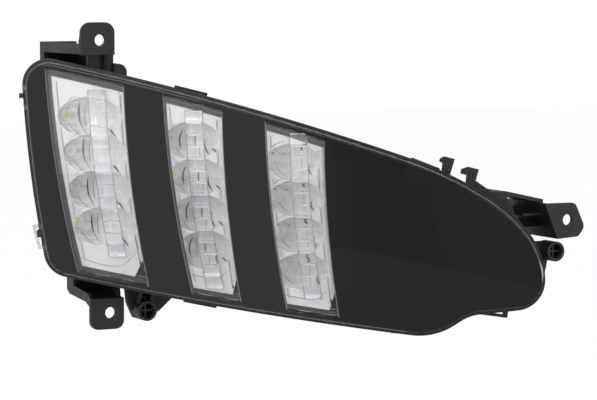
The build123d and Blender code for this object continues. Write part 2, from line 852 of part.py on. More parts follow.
# Upper bracket: tab, side arm, roof, right wall and rear wall over the housing's top
upper_left, upper_right, upper_low, upper_high = -11.6, 9.0, -8.5, 10.0
arm_top, arm_low, arm_end = -2.1, -8.0, 60.0
roof_top = -4.8
upper_bracket = (
    plate_xz(
        ((upper_left, upper_low), (upper_right, upper_low),
         (upper_right, upper_high), (upper_left, upper_high)),
        0, tab_wall, 6.0, (2, 3),
    ),
    plate_yz(((0, arm_low), (arm_end, arm_low), (arm_end, arm_top), (4, arm_top), (tab_wall, 3), (0, 3)),
             upper_left, upper_left + arm_wall),
    plate_xz(((upper_left, roof_top - arm_wall), (upper_right, roof_top - arm_wall), (upper_right, roof_top),
              (upper_left, roof_top)), 0, arm_end),
    plate_yz(((8, roof_top), (arm_end, roof_top), (arm_end, -deep), (14, -deep)),
             upper_right - arm_wall, upper_right),
    plate_xz(((upper_left, arm_top), (upper_right, arm_top), (upper_right, -deep), (upper_left, -deep)),
             arm_end - 6, arm_end),
    plate_xz(((-2, roof_top), (13.5, roof_top), (13.5, -deep), (-2, -deep)), 12, 15),
    plate_xz(((13.0, -13.5), (21, -14.5), (21, -deep), (13.0, -deep)), 10, 14, 5.0, (1,)),
)

# Lower bracket: the same box turned over, under the housing
lower_x, lower_z = 5.5, -154.8
lower_left, lower_right, lower_low, lower_high = -6.8, 13.9, -164.2, -146.5
lower_end = 34.0
housing_low = -126.0
lower_bracket = (
    plate_xz(
        ((lower_left, lower_low), (lower_right, lower_low),
         (lower_right, lower_high), (lower_left, lower_high)),
        0, tab_wall, 5.0, (0, 1),
    ),
    plate_yz(((0, -150.5), (3, -150.5), (7, -148.6), (30, -146.4), (lower_end, -144.0),
              (lower_end, housing_low), (24.5, housing_low), (24.5, -141), (4, -143.6), (0, lower_high)),
             lower_left, lower_left + arm_wall),
    plate_yz(((0, -149.0), (31, -146.2), (31, -143.8), (0, -146.6)), lower_left, lower_right),
    plate_yz(((4, -148.8), (30, -146.4), (lower_end, -144.0), (lower_end, housing_low), (8, housing_low)),
             lower_right - arm_wall, lower_right),
    plate_xz(((lower_left, -144.0), (lower_right, -144.0),
              (lower_right, housing_low), (lower_left, housing_low)), lower_end - arm_wall, lower_end),
)

# Right bracket: slanted tab, side wall along the car, roof and two stiffening ribs
right_x, right_y, right_z = 250.2, -98.0, -104.4
right_points = ((234.5, -94.5), (255.5, -94.7), (262.0, -108.8), (258.0, -114.4), (243.4, -115.2))
right_end = -58.0
right_bracket = (
    plate_xz(right_points, right_y, right_y + tab_wall, 4.0, (1, 2, 3)),
    plate_xz(((234.5, -94.5), (237.2, -94.5), (246.1, -115.2), (243.4, -115.2)), right_y, right_end),
    plate_xz(((203.0, -86.6), (212.0, -86.8), (237.2, -92.4), (237.2, -94.8), (212.0, -89.2), (203.0, -89.0)),
             right_y + 6, right_end - 4),
    plate_xz(((225.0, -100.4), (237.5, -100.4), (238.1, -101.8), (225.0, -101.8)), right_y + 8, right_end),
    plate_xz(((225.0, -108.2), (241.0, -108.2), (241.6, -109.6), (225.0, -109.6)), right_y + 8, right_end),
)

# Bosses: round sockets with a cross inside, on webs
boss_radius, boss_bore, boss_length, boss_floor = 5.8, 4.2, 12.0, 2.0
cross_wall, cross_sink, cross_root = 1.2, 3.0, 0.3
lower_boss = Vector(25.0, -8.0, -154.0)
right_boss = Vector(245.1, -94.0, -123.0)


def boss(front):
    """A hollow round socket that opens forward, with a cross rib a little below its mouth."""
    plane = Plane(origin=front, x_dir=(1, 0, 0), z_dir=(0, -1, 0))
    with BuildPart() as socket:
        with BuildSketch(plane):
            Circle(boss_radius)
        extrude(amount=-boss_length)
        with BuildSketch(plane):
            Circle(boss_bore)
        extrude(amount=boss_floor - boss_length, mode=Mode.SUBTRACT)
        with BuildSketch(plane.offset(-cross_sink)):
            Rectangle(2 * (boss_bore + cross_root), cross_wall)
            Rectangle(cross_wall, 2 * (boss_bore + cross_root))
        extrude(amount=cross_sink + 1 - boss_length)
    return socket.part


lower_web_y = lower_boss.Y + boss_length
boss_webs = (
    plate_xz(((14.0, housing_low), (50.0, housing_low - 6), (47.0, -146.5), (36.5, -155.5), (29.5, -158.6),
              (20.5, -158.6), (16.5, -150.0)), lower_web_y - 3, lower_web_y),
    plate_yz(((lower_boss.Y + 3, -150.0), (lower_web_y + 20, -136.0), (lower_web_y + 20, housing_low),
              (lower_boss.Y - 6, housing_low)), lower_boss.X - 4.8, lower_boss.X - 2.8),
    plate_yz(((lower_boss.Y + 3, -150.0), (lower_web_y + 20, -138.0), (lower_web_y + 20, housing_low - 4),
              (lower_boss.Y - 6, housing_low - 4)), lower_boss.X + 2.8, lower_boss.X + 4.8),
    plate_xz(((218.0, -117.6), (right_boss.X, -117.6), (right_boss.X, -128.2), (244.2, -133.0),
              (239.5, -148.0), (216.0, -147.0)), right_boss.Y + boss_length - 3, right_boss.Y + boss_length),
)

# Hooks on the top edge: flat sevens whose tips point outboard, each with its place, tip and rise
hooks = (((82.0, 12.0), 1.1, 10.9), ((95.9, 5.0), 2.6, 11.8))
hook_front, hook_back = 12.0, 15.0
side_web = ((98.0, 2.0), (101.6, 9.2), (110.0, 3.3), (120.2, -1.0), (124.2, -9.8), (133.4, -23.2),
            (120.0, -20.0))


def edge_plate(points, place):
    """A plate parallel to the lens just behind the flange, as deep as the dome is at a place."""
    with BuildPart() as plate:
        with BuildSketch(lens_plane.offset(-hook_front - dome_fall(*place))):
            with BuildLine():
                Polyline(*points, close=True)
            make_face()
        extrude(amount=hook_front - hook_back)
    return plate.part


def hook(place, tip, rise):
    shape = ((0.2, -4), (0.2, 0), (0.8, 7.2), (-tip, 8), (0.6 - tip, rise - 1.2), (1.8, rise),
             (7.7, rise - 1.5), (4.9, 0), (4.5, -4))
    return edge_plate([(place[0] + x, place[1] + y) for x, y in shape], place)


def screw_post(plane, radius, start):
    """A solid post that runs from behind a screw's seat to the housing's walls."""
    with BuildPart() as post:
        with BuildSketch(plane.offset(-start)):
            Circle(radius)
        extrude(amount=-2 * housing_depth)
        add(outer_body, mode=Mode.INTERSECT)
    return post.part


with BuildPart() as housing:
    add(outer_body)
    add(dome(flange_front), mode=Mode.INTERSECT)
    add(lens_band(flange_width, -body_inset - housing_wall, flange_front, flange_back))
    for piece in upper_bracket + lower_bracket + right_bracket + boss_webs:
        add(piece)
    for front in (lower_boss, right_boss):
        add(bore(Plane(origin=front, x_dir=(1, 0, 0), z_dir=(0, -1, 0)), boss_bore, boss_length - boss_floor),
            mode=Mode.SUBTRACT)
        add(boss(front))
    for place, tip, rise in hooks:
        add(hook(place, tip, rise))
    add(edge_plate(side_web, side_web[2]))
    for spot in housing_loops:
        add(loop(spot, flange_back - 1, flange_back + loop_depth))
    add(cavity, mode=Mode.SUBTRACT)
    channel_in = -black_wall - foot_wall - channel_clearance
    add(lens_band(channel_clearance - black_wall, channel_in, 0, channel_floor), mode=Mode.SUBTRACT)
    for plane, body in board_screws:
        add(screw_post(plane, post_radius, stack))
    for plane in bezel_screw_planes:
        add(screw_post(plane, bezel_boss_radius, bezel_boss_length))
    for plane, body in board_screws:
        add(bore(plane, board_screw / 2, stack + screw_hold), mode=Mode.SUBTRACT)
    for plane in bezel_screw_planes:
        add(bore(plane, bezel_screw / 2, bezel_boss_length + screw_hold), mode=Mode.SUBTRACT)
    with BuildSketch(outside.offset(vent_tube_length)):
        with Locations(outside.to_local_coords(vent_plane.origin)):
            Circle(vent_tube)
    extrude(amount=-vent_tube_length - 1)
    with BuildSketch(outside):
        with Locations(*cover_screw_places):
            Circle(post_radius)
    extrude(amount=-housing_wall - cover_screw_hold)
    with BuildSketch(outside):
        RectangleRounded(cover_length, cover_height, spigot_corner)
    extrude(amount=-housing_wall - 5, mode=Mode.SUBTRACT)
    with BuildSketch(outside):
        with Locations(*cover_screw_places):
            Circle(cover_screw / 2)
    extrude(amount=-housing_wall - cover_screw_hold, mode=Mode.SUBTRACT)
    add(bore(vent_plane.offset(vent_tube_length), vent_tube - vent_wall, vent_tube_length + 2 * housing_wall),
        mode=Mode.SUBTRACT)
    for x, y, z in ((0, 0, 0), (lower_x, 0, lower_z), (right_x, right_y, right_z)):
        add(bore(Plane(origin=(x, y, z), x_dir=(1, 0, 0), z_dir=(0, -1, 0)), tab_hole / 2, tab_screw_room),
            mode=Mode.SUBTRACT)
save(housing.part, "housing")
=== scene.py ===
import json
import math

import bmesh
import bpy
from mathutils import Matrix, Vector
from mathutils.bvhtree import BVHTree


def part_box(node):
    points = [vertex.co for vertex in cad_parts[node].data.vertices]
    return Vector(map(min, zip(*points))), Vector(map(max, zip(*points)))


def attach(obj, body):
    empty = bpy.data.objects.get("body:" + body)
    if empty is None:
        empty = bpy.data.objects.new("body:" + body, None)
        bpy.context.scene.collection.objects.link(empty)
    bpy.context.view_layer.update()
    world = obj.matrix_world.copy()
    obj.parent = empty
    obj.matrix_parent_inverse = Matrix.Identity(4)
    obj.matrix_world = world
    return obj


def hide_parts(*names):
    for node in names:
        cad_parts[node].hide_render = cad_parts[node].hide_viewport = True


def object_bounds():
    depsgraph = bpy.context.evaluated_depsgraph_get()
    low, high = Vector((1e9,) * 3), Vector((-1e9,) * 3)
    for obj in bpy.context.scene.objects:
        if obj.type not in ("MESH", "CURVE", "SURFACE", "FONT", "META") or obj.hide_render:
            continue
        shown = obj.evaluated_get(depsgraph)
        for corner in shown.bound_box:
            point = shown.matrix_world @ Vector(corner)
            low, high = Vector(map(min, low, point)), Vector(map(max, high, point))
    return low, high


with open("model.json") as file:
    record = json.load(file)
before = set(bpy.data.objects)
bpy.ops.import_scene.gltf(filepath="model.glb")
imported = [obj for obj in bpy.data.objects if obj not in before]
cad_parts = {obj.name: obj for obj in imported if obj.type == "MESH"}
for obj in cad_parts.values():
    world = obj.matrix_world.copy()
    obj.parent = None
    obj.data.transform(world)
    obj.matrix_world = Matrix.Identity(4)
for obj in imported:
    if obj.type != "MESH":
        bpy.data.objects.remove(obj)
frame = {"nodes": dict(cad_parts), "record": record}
cad_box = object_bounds()
nodes = frame["nodes"]
scene = bpy.context.scene
MM = 0.001

# Lens of the CAD part: a shallow dome, swept back on its outboard side; millimetres
LENS_CENTRE = Vector((92.4, -64.0, -89.1))
SWEEP = math.radians(25.0)
DOME_RADIUS = 760.0
LENS_WALL = 3.0
ACROSS = Vector((math.cos(SWEEP), -math.sin(SWEEP), 0.0))
OUTWARD = Vector((-math.sin(SWEEP), -math.cos(SWEEP), 0.0))
UP = Vector((0.0, 0.0, 1.0))

# Claw windows: place and lean of each edge where it crosses mid height
CLAW_RADIUS = 600.0
CLAWS = (
    ((-132.7, -0.182), (-92.5, -0.133)),
    ((-69.8, -0.148), (-40.2, -0.091)),
    ((-15.9, -0.100), (15.4, -0.059)),
)
BARS = range(len(CLAWS))
BOWL_COUNT = 4

# Camera at the photo's angle
AIM = LENS_CENTRE * MM
AZIMUTH, ELEVATION, DISTANCE = math.radians(-28.0), math.radians(5.0), 1.5
BACK = Vector((
    math.sin(AZIMUTH) * math.cos(ELEVATION),
    -math.cos(AZIMUTH) * math.cos(ELEVATION),
    math.sin(ELEVATION),
))
RIGHT = Vector((math.cos(AZIMUTH), math.sin(AZIMUTH), 0.0))
ABOVE = BACK.cross(RIGHT)


def lens_point(u, v, depth):
    """A place across and up the lens, depth behind its face: millimetres in, metres out."""
    fall = math.sqrt((DOME_RADIUS - depth) ** 2 - u * u - v * v) - DOME_RADIUS
    return (LENS_CENTRE + ACROSS * u + UP * v + OUTWARD * fall) * MM


def claw_u(edge, v):
    """Where a claw edge lies across the lens at that height."""
    place, lean = edge
    return place + lean * v + v * v / (2 * CLAW_RADIUS)


def plate_point(bar, u, v, depth):
    """A place on the flat plane of a window's plate: across and up the lens, depth behind its face."""
    left, right = CLAWS[bar]
    turn = math.asin((left[0] + right[0]) / 2 / DOME_RADIUS)
    normal = OUTWARD * math.cos(turn) + ACROSS * math.sin(turn)
    origin = LENS_CENTRE - OUTWARD * DOME_RADIUS + normal * (DOME_RADIUS - depth)
    point = LENS_CENTRE + ACROSS * u + UP * v
    return (point + OUTWARD * ((origin - point).dot(normal) / OUTWARD.dot(normal))) * MM


# Shader groups

# Most of a noise lies in this band
NOISE_BAND = (0.3, 0.7)
# Moulded grain: its mottle, and how far roughness and tone vary with it
MOTTLE_SCALE, GRAIN_UNEVEN, GRAIN_TONE = 45.0, (-0.07, 0.07), (0.82, 1.18)
# Gloss: patches that are less shiny
PATCH_SCALE, PATCH_BAND, PATCH_SHARE, PATCH_TONE = 30.0, (0.35, 0.75), (0.8, 1.5), (0.97, 1.03)
# Drawn metal: lines along the length, and spots of tone
DRAWN_STRETCH, DRAWN_UNEVEN = (1.0, 1.0, 0.06), (-0.1, 0.1)
SPOT_SCALE, SPOT_TONE = 160.0, (0.86, 1.06)
# Bowls: how far a face looks outward before it counts as plate, and the tones of plate and bowl; the plate's
# lower tone is painted shade on the faces that look outward
PLATE_TURN, PLATE_SHADE_TONE = (0.93, 0.975), 0.7
STREAK_STRETCH, STREAK_BAND, STREAK_TONE = (1.0, 1.0, 0.5), (0.4, 0.6), (0.9, 1.0)


def feed(tree, socket, value):
    """Sets a socket to a plain number, or links it to another socket."""
    if isinstance(value, (int, float)):
        socket.default_value = value
    else:
        tree.links.new(value, socket)


def math_node(tree, operation, first, second=None):
    """A Math node whose inputs are sockets or plain numbers; returns its output."""
    node = tree.nodes.new("ShaderNodeMath")
    node.operation = operation
    feed(tree, node.inputs[0], first)
    if second is not None:
        feed(tree, node.inputs[1], second)
    return node.outputs["Value"]


def ramp_node(tree, value, from_min, from_max, to_min, to_max):
    """A smooth Map Range; its ends are sockets or plain numbers; returns its output."""
    node = tree.nodes.new("ShaderNodeMapRange")
    node.interpolation_type = "SMOOTHSTEP"
    tree.links.new(value, node.inputs["Value"])
    ends = {"From Min": from_min, "From Max": from_max, "To Min": to_min, "To Max": to_max}
    for key, end in ends.items():
        feed(tree, node.inputs[key], end)
    return node.outputs["Result"]


def surface_group(name):
    """An empty surface group: scale and roughness in; height, roughness and tone out."""
    tree = bpy.data.node_groups.new(name, "ShaderNodeTree")
    for key in ("Scale", "Roughness"):
        tree.interface.new_socket(key, in_out="INPUT", socket_type="NodeSocketFloat")
    for key in ("Height", "Roughness", "Tone"):
        tree.interface.new_socket(key, in_out="OUTPUT", socket_type="NodeSocketFloat")
    return tree, tree.nodes.new("NodeGroupInput"), tree.nodes.new("NodeGroupOutput")


def noise_node(tree, scale, detail, stretch=None):
    """Noise over Object coordinates, drawn out along one axis where stretch is given."""
    place, noise = tree.nodes.new("ShaderNodeTexCoord"), tree.nodes.new("ShaderNodeTexNoise")
    noise.inputs["Detail"].default_value = detail
    feed(tree, noise.inputs["Scale"], scale)
    source = place.outputs["Object"]
    if stretch:
        mapping = tree.nodes.new("ShaderNodeMapping")
        mapping.inputs["Scale"].default_value = stretch
        tree.links.new(source, mapping.inputs["Vector"])
        source = mapping.outputs["Vector"]
    tree.links.new(source, noise.inputs["Vector"])
    return noise.outputs["Fac"]


def moulded_grain():
    """Fine moulded grain: a height for bump, an uneven roughness and a faint mottle of tone."""
    tree, source, sink = surface_group("moulded_grain")
    fine = noise_node(tree, source.outputs["Scale"], detail=3.0)
    broad = noise_node(tree, MOTTLE_SCALE, detail=2.0)
    uneven = ramp_node(tree, broad, *NOISE_BAND, *GRAIN_UNEVEN)
    tree.links.new(fine, sink.inputs["Height"])
    tree.links.new(math_node(tree, "ADD", source.outputs["Roughness"], uneven), sink.inputs["Roughness"])
    tree.links.new(ramp_node(tree, broad, *NOISE_BAND, *GRAIN_TONE), sink.inputs["Tone"])
    return tree


def moulded_gloss():
    """Smooth moulded or coated gloss: long ripples of flow and patches a little less shiny."""
    tree, source, sink = surface_group("moulded_gloss")
    ripple = noise_node(tree, source.outputs["Scale"], detail=1.0)
    patches = noise_node(tree, PATCH_SCALE, detail=4.0)
    tree.links.new(ripple, sink.inputs["Height"])
    share = ramp_node(tree, patches, *PATCH_BAND, *PATCH_SHARE)
    tree.links.new(math_node(tree, "MULTIPLY", source.outputs["Roughness"], share), sink.inputs["Roughness"])
    tree.links.new(ramp_node(tree, patches, *NOISE_BAND, *PATCH_TONE), sink.inputs["Tone"])
    return tree


def drawn_metal():
    """Drawn or rolled metal: fine lines one way in height and roughness, and spots of tone."""
    tree, source, sink = surface_group("drawn_metal")
    lines = noise_node(tree, source.outputs["Scale"], detail=2.0, stretch=DRAWN_STRETCH)
    spots = noise_node(tree, SPOT_SCALE, detail=3.0)
    tree.links.new(lines, sink.inputs["Height"])
    uneven = ramp_node(tree, lines, *NOISE_BAND, *DRAWN_UNEVEN)
    tree.links.new(math_node(tree, "ADD", source.outputs["Roughness"], uneven), sink.inputs["Roughness"])
    tree.links.new(ramp_node(tree, spots, *NOISE_BAND, *SPOT_TONE), sink.inputs["Tone"])
    return tree


def pressed_facets():
    """Metallised bowls: short streaks in height and tone where the surface turns away from the plate, and
    painted shade that darkens the plate.
    """
    tree, source, sink = surface_group("pressed_facets")
    turned = tree.nodes.new("ShaderNodeVectorMath")
    turned.operation = "DOT_PRODUCT"
    tree.links.new(tree.nodes.new("ShaderNodeNewGeometry").outputs["Normal"], turned.inputs[0])
    turned.inputs[1].default_value = OUTWARD
    bowl = ramp_node(tree, turned.outputs["Value"], *PLATE_TURN, 1.0, 0.0)
    streaks = noise_node(tree, source.outputs["Scale"], detail=3.0, stretch=STREAK_STRETCH)
    tree.links.new(math_node(tree, "MULTIPLY", streaks, bowl), sink.inputs["Height"])
    tree.links.new(source.outputs["Roughness"], sink.inputs["Roughness"])
    streaked = ramp_node(tree, streaks, *STREAK_BAND, *STREAK_TONE)
    # painted shade: the faces that look outward, the plate, are darker than the bowls
    tree.links.new(ramp_node(tree, bowl, 0.0, 1.0, PLATE_SHADE_TONE, streaked), sink.inputs["Tone"])
    return tree


GRAIN, GLOSS, DRAWN, FACETS = moulded_grain(), moulded_gloss(), drawn_metal(), pressed_facets()
BUMP_DISTANCE, EDGE_SAMPLES = 0.2, 6


def finish(name, color, roughness, surface, scale, bump, edge=0.0, metallic=0.0, **inputs):
    """A Principled material over a surface group; edge is the radius that softens sharp edges."""
    made = bpy.data.materials.new(name)
    made.use_nodes = True
    tree = made.node_tree
    shader = tree.nodes["Principled BSDF"]
    shader.inputs["Metallic"].default_value = metallic
    for key, value in inputs.items():
        shader.inputs[key.replace("_", " ")].default_value = value
    group, relief = tree.nodes.new("ShaderNodeGroup"), tree.nodes.new("ShaderNodeBump")
    group.node_tree = surface
    group.inputs["Scale"].default_value = scale
    group.inputs["Roughness"].default_value = roughness
    relief.inputs["Strength"].default_value = bump
    relief.inputs["Distance"].default_value = BUMP_DISTANCE * MM
    tree.links.new(group.outputs["Height"], relief.inputs["Height"])
    if edge:
        round_edge = tree.nodes.new("ShaderNodeBevel")
        round_edge.samples = EDGE_SAMPLES
        round_edge.inputs["Radius"].default_value = edge * MM
        tree.links.new(round_edge.outputs["Normal"], relief.inputs["Normal"])
    tree.links.new(relief.outputs["Normal"], shader.inputs["Normal"])
    tree.links.new(group.outputs["Roughness"], shader.inputs["Roughness"])
    tone = tree.nodes.new("ShaderNodeVectorMath")
    tone.operation = "SCALE"
    tone.inputs[0].default_value = color
    tree.links.new(group.outputs["Tone"], tone.inputs["Scale"])
    tree.links.new(tone.outputs["Vector"], shader.inputs["Base Color"])
    return made


# Finishes of the record's slots: colour, roughness, surface, its scale and bump, and what only some have

FINISHES = {
    "housing_black": ((0.016, 0.016, 0.017), 0.42, GRAIN, 1800.0, 0.25, {"edge": 0.7}),
    "cover_black": ((0.018, 0.018, 0.019), 0.45, GRAIN, 1800.0, 0.25, {"edge": 0.6}),
    "bezel_grey": ((0.06, 0.06, 0.064), 0.4, GRAIN, 2400.0, 0.1, {"edge": 0.3}),
    "lens_black": ((0.004, 0.004, 0.0045), 0.02, GLOSS, 120.0, 0.002, {"edge": 0.4}),
    "lens_clear": ((0.99, 0.995, 1.0), 0.0, GLOSS, 160.0, 0.004, {"Transmission_Weight": 1.0, "IOR": 1.42}),
    "seal_rubber": ((0.02, 0.02, 0.02), 0.7, GRAIN, 900.0, 0.3, {}),
    "vent_rubber": ((0.022, 0.022, 0.022), 0.65, GRAIN, 900.0, 0.3, {"edge": 0.4}),
    "board_green": ((0.02, 0.12, 0.05), 0.35, GRAIN, 3000.0, 0.05, {}),
    "coil_grey": ((0.06, 0.06, 0.065), 0.6, GRAIN, 1500.0, 0.2, {}),
    "capacitor_metal": ((0.7, 0.7, 0.72), 0.3, DRAWN, 900.0, 0.1, {"metallic": 1.0}),
    "chip_black": ((0.015, 0.015, 0.015), 0.5, GRAIN, 3000.0, 0.15, {}),
    "pin_tin": ((0.75, 0.75, 0.76), 0.25, DRAWN, 1500.0, 0.1, {"edge": 0.15, "metallic": 1.0}),
    "screw_zinc": ((0.6, 0.6, 0.62), 0.3, DRAWN, 1500.0, 0.15, {"edge": 0.15, "metallic": 1.0}),
    "reflector_silver": ((0.99, 0.99, 0.995), 0.16, FACETS, 420.0, 0.8, {"edge": 0.3, "metallic": 0.2}),
    "board_white": ((0.9, 0.9, 0.89), 0.4, GRAIN, 3000.0, 0.05, {}),
    "led_yellow": ((0.8, 0.84, 0.26), 0.45, GRAIN, 6000.0, 0.2, {}),
    "led_body": ((0.97, 0.97, 0.96), 0.4, GRAIN, 4000.0, 0.05, {}),
    "sink_aluminium": ((0.7, 0.71, 0.73), 0.35, DRAWN, 700.0, 0.15, {"metallic": 1.0}),
}
slots = {slot: finish(slot, *look, **more) for slot, (*look, more) in FINISHES.items()}

# Finishes of the fine lines: painted highlight, painted light and painted shade
LINE_SCALE, LINE_BUMP = 300.0, 0.02
# painted highlight: the pale lines along the lens edge and the window sides
EDGE_HIGHLIGHT = finish("lens_edge_painted_highlight", (0.2, 0.205, 0.21), 0.25, GLOSS, LINE_SCALE, LINE_BUMP)
# painted light: pale grey that lifts the shade in the reflector slots; also the colour of the nose clip
SLOT_PALE = finish("slot_light_and_clip_pale", (0.5, 0.5, 0.51), 0.4, GLOSS, LINE_SCALE, LINE_BUMP)
# painted shade: dark lines in the shadowed gaps of the bowl steps
STEP_SHADE = finish("bowl_step_painted_shade", (0.05, 0.05, 0.054), 0.35, GLOSS, LINE_SCALE, LINE_BUMP)
# painted shade: grey for the lines in the lens grooves and on the bowl edges
SHADE_GREY = finish("painted_shade_grey", (0.3, 0.31, 0.32), 0.3, GLOSS, LINE_SCALE, LINE_BUMP)

slot_of = {row["node"]: row["material_slot"] for row in frame["record"]["subparts"]}
for name, node in nodes.items():
    node.data.materials.clear()
    node.data.materials.append(slots[slot_of[name]])


# Geometry Nodes trees

# A faded end keeps a sliver of the width
LINE_FULL = 1.02
# Points nearer than this are joined; millimetres
MERGE_NEAR = 0.002


def geometry_tree(name, inputs):
    """An empty Geometry Nodes tree with further named inputs."""
    tree = bpy.data.node_groups.new(name, "GeometryNodeTree")
    tree.interface.new_socket("Geometry", in_out="INPUT", socket_type="NodeSocketGeometry")
    for key, kind in inputs.items():
        tree.interface.new_socket(key, in_out="INPUT", socket_type="NodeSocket" + kind)
    tree.interface.new_socket("Geometry", in_out="OUTPUT", socket_type="NodeSocketGeometry")
    return tree, tree.nodes.new("NodeGroupInput"), tree.nodes.new("NodeGroupOutput")


def finish_tree(tree, source, sink, result):
    """Ends a tree: instances made real and the finish set."""
    real, paint = tree.nodes.new("GeometryNodeRealizeInstances"), tree.nodes.new("GeometryNodeSetMaterial")
    tree.links.new(result, real.inputs["Geometry"])
    tree.links.new(real.outputs["Geometry"], paint.inputs["Geometry"])
    tree.links.new(source.outputs["Finish"], paint.inputs["Material"])
    tree.links.new(paint.outputs["Geometry"], sink.inputs["Geometry"])


def line_tree():
    """A moulded line along each run of edges, with a square section that may fade out at its ends."""
    inputs = {"Width": "Float", "Taper": "Float", "Finish": "Material"}
    tree, source, sink = geometry_tree("moulded_line", inputs)
    add, link = tree.nodes.new, tree.links.new
    curve, along = add("GeometryNodeMeshToCurve"), add("GeometryNodeSplineParameter")
    section, sweep = add("GeometryNodeCurvePrimitiveQuadrilateral"), add("GeometryNodeCurveToMesh")
    arch = math_node(tree, "SINE", math_node(tree, "MULTIPLY", along.outputs["Factor"], math.pi))
    fade = math_node(tree, "MULTIPLY", source.outputs["Taper"], math_node(tree, "SUBTRACT", 1.0, arch))
    sweep.inputs["Fill Caps"].default_value = True
    link(source.outputs["Geometry"], curve.inputs["Mesh"])
    link(source.outputs["Width"], section.inputs["Width"])
    link(source.outputs["Width"], section.inputs["Height"])
    link(curve.outputs["Curve"], sweep.inputs["Curve"])
    link(section.outputs["Curve"], sweep.inputs["Profile Curve"])
    link(math_node(tree, "SUBTRACT", LINE_FULL, fade), sweep.inputs["Scale"])
    finish_tree(tree, source, sink, sweep.outputs["Mesh"])
    return tree


def set_tree():
    """One shape set on each point, all turned the same way."""
    inputs = {"Shape": "Object", "Turn": "Vector", "Finish": "Material"}
    tree, source, sink = geometry_tree("set_on_points", inputs)
    add, link = tree.nodes.new, tree.links.new
    shape, setter = add("GeometryNodeObjectInfo"), add("GeometryNodeInstanceOnPoints")
    link(source.outputs["Shape"], shape.inputs["Object"])
    link(source.outputs["Geometry"], setter.inputs["Points"])
    link(shape.outputs["Geometry"], setter.inputs["Instance"])
    link(source.outputs["Turn"], setter.inputs["Rotation"])
    finish_tree(tree, source, sink, setter.outputs["Instances"])
    return tree


LINES, SETS = line_tree(), set_tree()


def piece_of(name, mesh):
    """A finished piece of the object, carried by its one body."""
    piece = bpy.data.objects.new(name, mesh)
    scene.collection.objects.link(piece)
    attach(piece, "root")
    return piece


def grown(name, mesh, tree, slot, **values):
    """A piece that a Geometry Nodes tree makes from points or edges, as a plain mesh."""
    seed = bpy.data.objects.new(name + "_seed", mesh)
    scene.collection.objects.link(seed)
    modifier = seed.modifiers.new("shape", "NODES")
    modifier.node_group = tree
    for item in tree.interface.items_tree:
        if item.in_out == "INPUT" and item.name in values:
            modifier[item.identifier] = values[item.name]
    graph = bpy.context.evaluated_depsgraph_get()
    made = bpy.data.meshes.new_from_object(seed.evaluated_get(graph))
    bpy.data.objects.remove(seed)
    return piece_of(name, made)


def runs_mesh(name, runs):
    """Runs of points joined by edges."""
    points, edges = [], []
    for run in runs:
        edges += [(len(points) + k, len(points) + k + 1) for k in range(len(run) - 1)]
        points += run
    mesh = bpy.data.meshes.new(name)
    mesh.from_pydata(points, edges, [])
    return mesh


def line_piece(name, runs, slot, width, material, taper=0.0):
    """A piece made of moulded lines along runs of points; the width is in millimetres."""
    mesh = runs_mesh(name + "_runs", runs)
    return grown(name, mesh, LINES, slot, Width=width * MM, Taper=taper, Finish=material)


def set_piece(name, places, slot, mesh, turn):
    """A piece made of one shape set on each place, all turned the same way."""
    points = runs_mesh(name + "_places", [[place] for place in places])
    shape = bpy.data.objects.new(name + "_shape", mesh)
    made = grown(name, points, SETS, slot, Shape=shape, Turn=turn, Finish=slots[slot])
    bpy.data.objects.remove(shape)
    return made


def settled(shape, mesh):
    """A shape written to a mesh and let go."""
    shape.to_mesh(mesh)
    shape.free()
    return mesh


def moulded(name, shape, slot):
    """A piece made from a shape, in the finish of its slot."""
    mesh = settled(shape, bpy.data.meshes.new(name))
    mesh.materials.append(slots[slot])
    return piece_of(name, mesh)


def joined_copy(node):
    """A copy of a node's mesh, and its shape with the loose triangles joined."""
    mesh = nodes[node].data.copy()
    shape = bmesh.new()
    shape.from_mesh(mesh)
    bmesh.ops.remove_doubles(shape, verts=shape.verts, dist=MERGE_NEAR * MM)
    return mesh, shape


def turned_mesh(name, profile, sides, lobes=0, lobe_from=0, lobe_depth=0.0):
    """A closed turned shape from (radius, height) points in millimetres, with lobes in its last rings."""
    shape = bmesh.new()
    rings = []
    for index, (radius, height) in enumerate(profile):
        if radius == 0.0:
            rings.append([shape.verts.new((0.0, 0.0, height * MM))])
            continue
        depth = lobe_depth if lobes and index >= lobe_from else 0.0
        ring = []
        for k in range(sides):
            turn = 2 * math.pi * k / sides
            reach = radius * (1.0 + depth * math.cos(lobes * turn)) * MM
            ring.append(shape.verts.new((reach * math.cos(turn), reach * math.sin(turn), height * MM)))
        rings.append(ring)
    for low, high in zip(rings, rings[1:]):
        for k in range(sides):
            around = ((low, k), (low, k + 1), (high, k + 1), (high, k))
            corners = [ring[step % len(ring)] for ring, step in around]
            shape.faces.new(list(dict.fromkeys(corners)))
    bmesh.ops.remove_doubles(shape, verts=shape.verts, dist=MERGE_NEAR * MM)
    bmesh.ops.recalc_face_normals(shape, faces=shape.faces)
    return settled(shape, bpy.data.meshes.new(name))


# Smooth skins: the mouldings with their curved walls shaded as one surface

SMOOTH_ANGLE = math.radians(24.0)


def smooth_skin(node):
    """A copy of a moulding whose triangles are joined and whose curves are shaded smooth."""
    mesh, shape = joined_copy(node)
    settled(shape, mesh)
    mesh.shade_smooth()
    mesh.set_sharp_from_angle(angle=SMOOTH_ANGLE)
    skin = piece_of(node + "_skin", mesh)
    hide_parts(node)


for node in ("lens_black", "rear_cover", "vent_cap"):
    smooth_skin(node)


# Pillow optics: rounded bars down the inside of each window, with fine grooves between them; the grey lines
# in the grooves are painted shade

